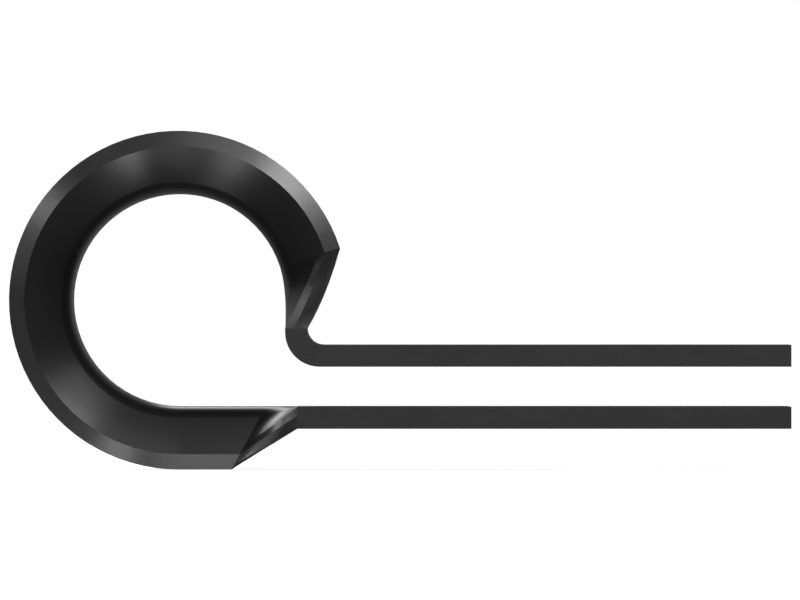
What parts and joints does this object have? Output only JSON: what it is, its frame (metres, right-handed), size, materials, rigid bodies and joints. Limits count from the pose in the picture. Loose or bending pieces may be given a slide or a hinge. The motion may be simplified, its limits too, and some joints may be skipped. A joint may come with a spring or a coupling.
{
  "type": "loop clamp",
  "caption": "Plastic loop clamp for a cable: a ring with both edges flared at 45 degrees and two flat legs with one screw hole through both.",
  "frame": {"origin": "centre of the cable bore at mid width", "axes": "+X from the bore's centre towards the leg ends, +Y along the bore, +Z from the lower leg towards the upper leg"},
  "size_m": [0.035, 0.0126, 0.0152],
  "materials": {
    "black_plastic": "satin black moulded plastic"
  },
  "bodies": {
    "root": {"loop_clamp": "black_plastic"}
  },
  "joints": []
}
